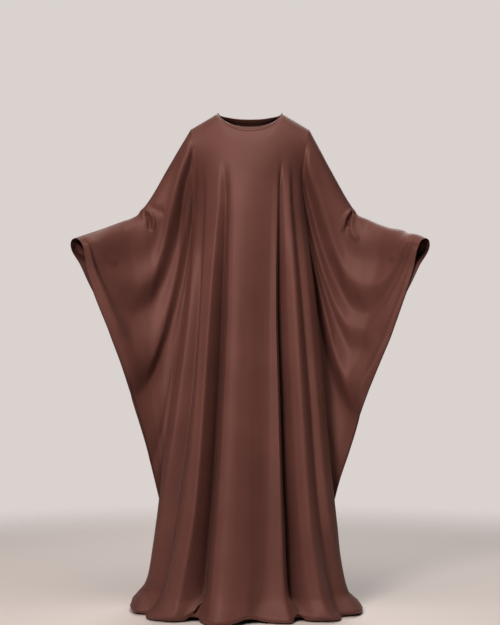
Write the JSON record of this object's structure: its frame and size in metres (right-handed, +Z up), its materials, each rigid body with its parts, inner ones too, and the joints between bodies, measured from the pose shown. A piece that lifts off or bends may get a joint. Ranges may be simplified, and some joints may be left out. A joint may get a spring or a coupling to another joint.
{
  "type": "butterfly abaya",
  "caption": "Floor-length A-line robe with wide folded wing sleeves sewn to its sides, worn form, open at neck, cuffs and hem.",
  "frame": {"origin": "middle of the neck opening, level with the high shoulder points, where the wearer's shoulders carry the robe", "axes": "+Z up along the wearer's height, front towards -Y, +X towards the wearer's left arm"},
  "size_m": [1.0327, 0.6262, 1.4534],
  "materials": {
    "satin_crepe": "fluid satin-backed crepe, chocolate brown, soft sheen",
    "binding": "bias binding of the same crepe, pressed flat"
  },
  "bodies": {
    "root": {"body_front": "satin_crepe", "body_back": "satin_crepe", "left_wing_front": "satin_crepe", "left_wing_back": "satin_crepe", "right_wing_front": "satin_crepe", "right_wing_back": "satin_crepe", "neck_binding": "binding"}
  },
  "joints": []
}
